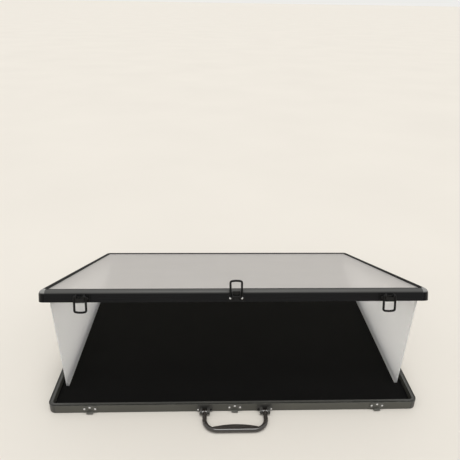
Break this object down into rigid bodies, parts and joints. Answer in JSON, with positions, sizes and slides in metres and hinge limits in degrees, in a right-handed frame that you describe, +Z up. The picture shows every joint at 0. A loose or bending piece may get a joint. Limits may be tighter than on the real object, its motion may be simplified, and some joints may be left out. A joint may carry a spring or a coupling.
{
  "type": "display case",
  "caption": "Slim tabletop display case: lined tray, see-through lid hinged at the rear and propped open on folding side panels, with a carry handle and three wire latches.",
  "frame": {"origin": "centre of the tray's underside", "axes": "+X to the right, +Y to the rear hinges, +Z up"},
  "size_m": [0.765, 0.664, 0.2836],
  "materials": {
    "tray_rail": "black anodised, satin",
    "lid_rail": "black anodised, satin",
    "corner": "moulded black",
    "board": "black hardboard",
    "lining": "short black nap on foam",
    "lid_sheet": "clear acrylic with a haze",
    "side_panel": "clear acrylic with a haze",
    "edge_strip": "grey extrusion",
    "gasket": "black bead",
    "handle": "moulded dark grey",
    "black_steel": "black coated",
    "keeper": "grey coated pressing",
    "wire": "black coated wire",
    "bright_steel": "bright"
  },
  "bodies": {
    "base": {"base_board": "board", "base_corner_front_left": "corner", "base_corner_front_right": "corner", "base_corner_rear_left": "corner", "base_corner_rear_right": "corner", "base_front_rail": "tray_rail", "base_left_rail": "tray_rail", "base_rear_rail": "tray_rail", "base_right_rail": "tray_rail", "bracket_inner_rivets": "black_steel", "bracket_outer_rivets": "bright_steel", "handle_bracket_left": "black_steel", "handle_bracket_right": "black_steel", "handle_pins": "bright_steel", "hinge_base_rivets": "bright_steel", "hinge_centre_base_leaf": "black_steel", "hinge_left_base_leaf": "black_steel", "hinge_pins": "bright_steel", "hinge_right_base_leaf": "black_steel", "keeper_centre": "keeper", "keeper_left": "keeper", "keeper_right": "keeper", "keeper_rivets": "bright_steel", "tray_lining": "lining"},
    "handle": {"carry_handle": "handle"},
    "lid": {"hinge_centre_lid_leaf": "black_steel", "hinge_left_lid_leaf": "black_steel", "hinge_lid_rivets": "bright_steel", "hinge_right_lid_leaf": "black_steel", "latch_centre_plate": "black_steel", "latch_centre_rivets": "bright_steel", "latch_left_plate": "black_steel", "latch_lever_pins": "black_steel", "latch_outer_rivets": "black_steel", "latch_right_plate": "black_steel", "lid_corner_front_left": "corner", "lid_corner_front_right": "corner", "lid_corner_rear_left": "corner", "lid_corner_rear_right": "corner", "lid_front_rail": "lid_rail", "lid_gasket": "gasket", "lid_left_rail": "lid_rail", "lid_rear_rail": "lid_rail", "lid_right_rail": "lid_rail", "lid_sheet": "lid_sheet", "panel_bracket_rivets": "bright_steel", "panel_left_brackets": "black_steel", "panel_right_brackets": "black_steel"},
    "bail_centre": {"latch_centre_bail": "wire"},
    "lever_centre": {"latch_centre_lever": "black_steel"},
    "bail_left": {"latch_left_bail": "wire"},
    "lever_left": {"latch_left_lever": "black_steel"},
    "bail_right": {"latch_right_bail": "wire"},
    "lever_right": {"latch_right_lever": "black_steel"},
    "panel_left": {"panel_left_edge_strip": "edge_strip", "panel_left_pins": "bright_steel", "side_panel_left": "side_panel"},
    "panel_right": {"panel_right_edge_strip": "edge_strip", "panel_right_pins": "bright_steel", "side_panel_right": "side_panel"}
  },
  "joints": [
    {"name": "lid_hinge", "type": "hinge", "parent": "base", "child": "lid", "pos_m": [0, 0.3032, 0.0192], "axis": [-1, 0, 0], "range_deg": [0, 68.3]},
    {"name": "handle_swing", "type": "hinge", "parent": "base", "child": "handle", "pos_m": [0, -0.309, 0.007], "axis": [-1, 0, 0], "range_deg": [0, 90]},
    {"name": "left_panel_fold", "type": "hinge", "parent": "lid", "child": "panel_left", "pos_m": [-0.3605, 0.026, 0.14264], "axis": [0, -0.9291, 0.3697], "range_deg": [0, 90]},
    {"name": "right_panel_fold", "type": "hinge", "parent": "lid", "child": "panel_right", "pos_m": [0.3605, 0.026, 0.14264], "axis": [0, 0.9291, -0.3697], "range_deg": [0, 90]},
    {"name": "left_lever_turn", "type": "hinge", "parent": "lid", "child": "lever_left", "pos_m": [-0.297, -0.26023, 0.25612], "axis": [-1, 0, 0], "range_deg": [0, 175]},
    {"name": "left_bail_swing", "type": "hinge", "parent": "lever_left", "child": "bail_left", "pos_m": [-0.297, -0.26292, 0.25851], "axis": [-1, 0, 0], "range_deg": [-16.7, 25]},
    {"name": "centre_lever_turn", "type": "hinge", "parent": "lid", "child": "lever_centre", "pos_m": [0, -0.26023, 0.25612], "axis": [-1, 0, 0], "range_deg": [-175, 0]},
    {"name": "centre_bail_swing", "type": "hinge", "parent": "lever_centre", "child": "bail_centre", "pos_m": [0, -0.25734, 0.25396], "axis": [-1, 0, 0], "range_deg": [-31.7, 10]},
    {"name": "right_lever_turn", "type": "hinge", "parent": "lid", "child": "lever_right", "pos_m": [0.297, -0.26023, 0.25612], "axis": [-1, 0, 0], "range_deg": [0, 175]},
    {"name": "right_bail_swing", "type": "hinge", "parent": "lever_right", "child": "bail_right", "pos_m": [0.297, -0.26292, 0.25851], "axis": [-1, 0, 0], "range_deg": [-16.7, 25]}
  ]
}
